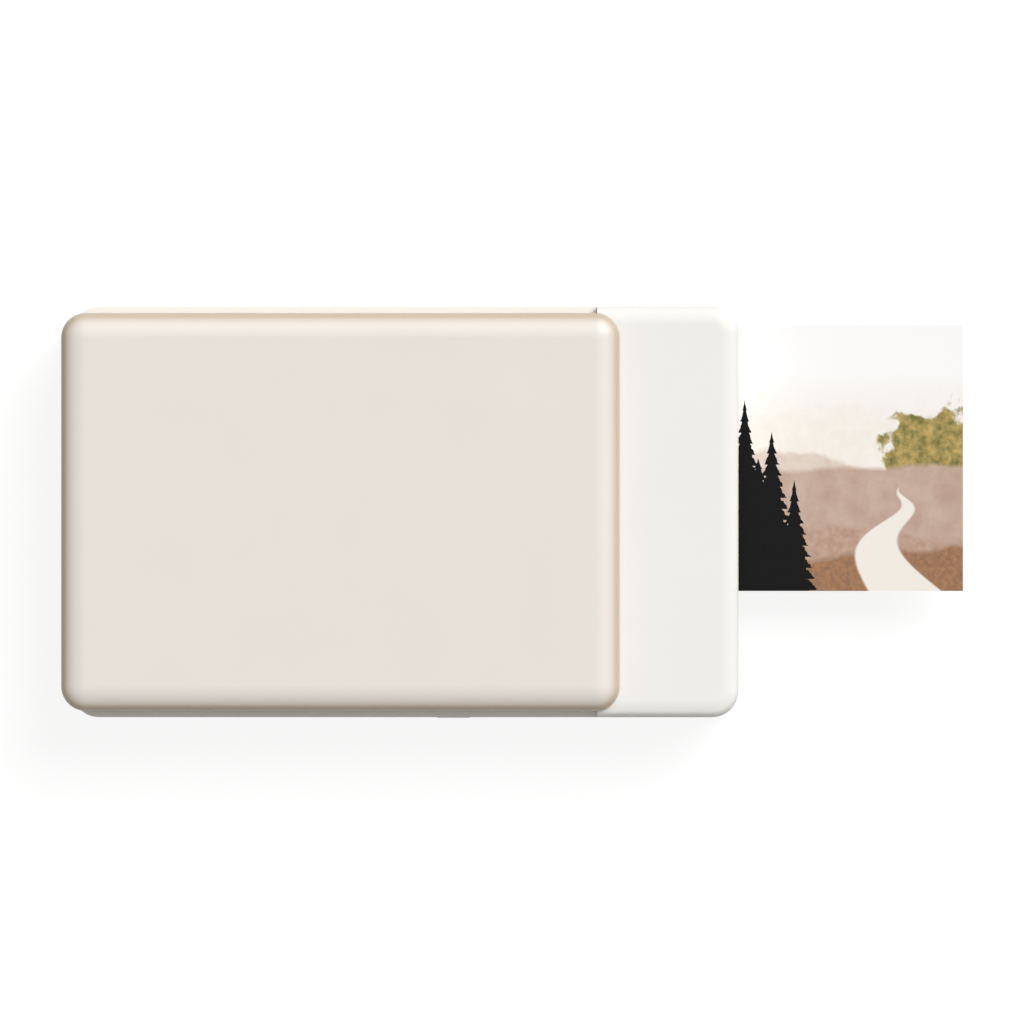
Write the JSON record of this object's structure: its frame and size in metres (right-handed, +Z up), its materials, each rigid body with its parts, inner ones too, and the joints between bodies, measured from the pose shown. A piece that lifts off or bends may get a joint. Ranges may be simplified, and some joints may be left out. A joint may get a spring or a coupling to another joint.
{
  "type": "compact photo printer",
  "caption": "Pocket photo printer: rounded white base, beige sliding paper cover, print leaving the end slot, full roller, gear and thermal head mechanism inside.",
  "frame": {"origin": "centre of the flat bottom of the white base, on the surface that the printer rests on", "axes": "+X along the long side towards the paper exit, +Y to the back long side (the controls face -Y), +Z up"},
  "size_m": [0.1693, 0.0772, 0.0231],
  "materials": {
    "white_shell": "satin moulded ABS, fine texture",
    "beige_cover": "satin moulded ABS, warm beige",
    "black_plastic": "matt moulded",
    "acetal": "smooth moulded acetal",
    "sheet_steel": "zinc plated sheet",
    "bright_steel": "ground and bright",
    "screw_steel": "nickel plated",
    "brass": "machined",
    "roller_rubber": "ground rubber",
    "aluminium": "milled",
    "ceramic": "glazed ceramic",
    "blank_sheets": "coated photo sheets",
    "printed_sheet": "glossy photo print",
    "circuit_board": "solder mask",
    "battery_foil": "laminated pouch foil",
    "foam": "adhesive foam",
    "wire_red": "insulated wire",
    "wire_black": "insulated wire",
    "ribbon_film": "flat flexible cable",
    "clear_plastic": "clear acrylic"
  },
  "bodies": {
    "base": {"bottom_shell": "white_shell", "top_frame": "white_shell", "paper_tray": "black_plastic", "entry_guide": "black_plastic", "upper_guide": "black_plastic", "exit_guide": "black_plastic", "motor_end_cap": "black_plastic", "button_switch": "black_plastic", "usb_tongue": "black_plastic", "paper_sensor": "black_plastic", "board_chips": "black_plastic", "pickup_bushes": "acetal", "platen_bushes": "acetal", "ribbon_socket": "acetal", "battery_plug": "acetal", "gear_side_plate": "sheet_steel", "back_side_plate": "sheet_steel", "head_spring_bridge": "sheet_steel", "motor_bracket": "sheet_steel", "radio_shield": "sheet_steel", "usb_shell": "sheet_steel", "motor_can": "sheet_steel", "lift_plate_pin": "bright_steel", "lift_springs": "bright_steel", "gear_posts": "bright_steel", "gear_clips": "bright_steel", "head_pivot_pin": "bright_steel", "head_springs": "bright_steel", "case_screws": "screw_steel", "mechanism_screws": "screw_steel", "main_board": "circuit_board", "battery_cell": "battery_foil", "battery_pad": "foam", "battery_wires": "wire_red", "motor_wires": "wire_black", "head_ribbon": "ribbon_film", "light_pipe": "clear_plastic", "status_led": "clear_plastic"},
    "cover": {"top_cover": "beige_cover"},
    "lift": {"lift_plate": "sheet_steel", "paper_stack": "blank_sheets"},
    "sheet": {"print_sheet": "printed_sheet"},
    "pickup": {"pickup_shaft": "bright_steel", "pickup_tyres": "roller_rubber", "pickup_gear": "acetal"},
    "platen": {"platen_shaft": "bright_steel", "platen_rubber": "roller_rubber", "platen_gear": "acetal"},
    "idler_front": {"idler_gear_front": "acetal"},
    "idler_rear": {"idler_gear_rear": "acetal"},
    "compound": {"compound_gear": "acetal"},
    "rotor": {"motor_shaft": "bright_steel", "motor_pinion": "brass"},
    "head": {"thermal_head": "ceramic", "head_driver_cap": "black_plastic", "head_heatsink": "aluminium"},
    "button": {"power_button": "white_shell", "switch_stem": "acetal"}
  },
  "joints": [
    {"name": "cover_slide", "type": "slide", "parent": "base", "child": "cover", "axis": [-1, 0, 0], "range_m": [0, 0.086]},
    {"name": "sheet_feed", "type": "slide", "parent": "base", "child": "sheet", "axis": [1, 0, 0], "range_m": [-0.0743, 0.016]},
    {"name": "platen_spin", "type": "hinge", "parent": "base", "child": "platen", "pos_m": [0.045, 0, 0.00795], "axis": [0, 1, 0], "range_deg": [-1290.5, 278.3]},
    {"name": "idler_front_spin", "type": "hinge", "parent": "base", "child": "idler_front", "pos_m": [0.03825, 0, 0.00803], "axis": [0, 1, 0], "range_deg": [-222.7, 1032.5]},
    {"name": "idler_rear_spin", "type": "hinge", "parent": "base", "child": "idler_rear", "pos_m": [0.03121, 0, 0.0106], "axis": [0, 1, 0], "range_deg": [-1032.5, 222.7]},
    {"name": "pickup_spin", "type": "hinge", "parent": "base", "child": "pickup", "pos_m": [0.026, 0, 0.0149], "axis": [0, 1, 0], "range_deg": [-278.3, 1290.5]},
    {"name": "compound_spin", "type": "hinge", "parent": "base", "child": "compound", "pos_m": [0.05205, 0, 0.01052], "axis": [0, 1, 0], "range_deg": [-764.4, 3548.1]},
    {"name": "motor_spin", "type": "hinge", "parent": "base", "child": "rotor", "pos_m": [0.04406, 0, 0.00761], "axis": [0, 1, 0], "range_deg": [-11530.1, 2483.3]},
    {"name": "paper_lift", "type": "hinge", "parent": "base", "child": "lift", "pos_m": [-0.0435, 0, 0.0078], "axis": [0, 1, 0], "range_deg": [0, 0.8], "stiffness_Nm_per_rad": 1.4, "springref_deg": -4.01, "deforming": ["lift_springs"]},
    {"name": "head_lift", "type": "hinge", "parent": "base", "child": "head", "pos_m": [0.0565, 0, 0.0133], "axis": [0, 1, 0], "range_deg": [0, 3], "stiffness_Nm_per_rad": 1, "springref_deg": -6.88, "deforming": ["head_springs", "head_ribbon"]},
    {"name": "power_press", "type": "slide", "parent": "base", "child": "button", "axis": [0, 1, 0], "range_m": [0, 0.0005], "stiffness_N_per_m": 2000, "springref_m": -0.0002}
  ],
  "couplings": [
    {"joint": "platen_spin", "follows": "sheet_feed", "rad_per_m": 303.03},
    {"joint": "idler_front_spin", "follows": "sheet_feed", "rad_per_m": -242.42},
    {"joint": "idler_rear_spin", "follows": "sheet_feed", "rad_per_m": 242.42},
    {"joint": "pickup_spin", "follows": "sheet_feed", "rad_per_m": -303.03},
    {"joint": "compound_spin", "follows": "sheet_feed", "rad_per_m": -833.33},
    {"joint": "motor_spin", "follows": "sheet_feed", "rad_per_m": 2708.3}
  ]
}
